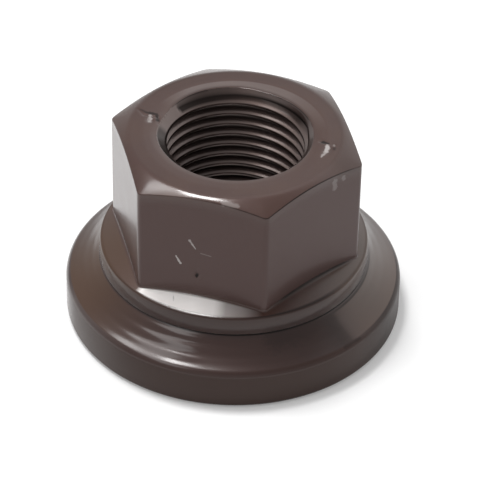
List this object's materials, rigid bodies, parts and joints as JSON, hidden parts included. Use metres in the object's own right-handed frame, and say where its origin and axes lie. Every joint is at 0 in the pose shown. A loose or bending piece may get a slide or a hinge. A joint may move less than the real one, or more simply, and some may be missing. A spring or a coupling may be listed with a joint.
{
  "type": "wheel nut",
  "caption": "Wheel nut: a hexagon on a turned shelf and short collar, above a wide sloping flange with a flat bearing face and a fine-thread bore.",
  "frame": {"origin": "middle of the flat bearing face, on the thread's axis", "axes": "+Z along the thread's axis from the bearing face to the top face; two flats of the hexagon face +Y and -Y, two corners lie on +X and -X"},
  "size_m": [0.041, 0.041, 0.0252],
  "materials": {
    "phosphated_steel": "dark brown-grey phosphate and oil over steel, semi-gloss"
  },
  "bodies": {
    "root": {"wheel_nut": "phosphated_steel"}
  },
  "joints": []
}
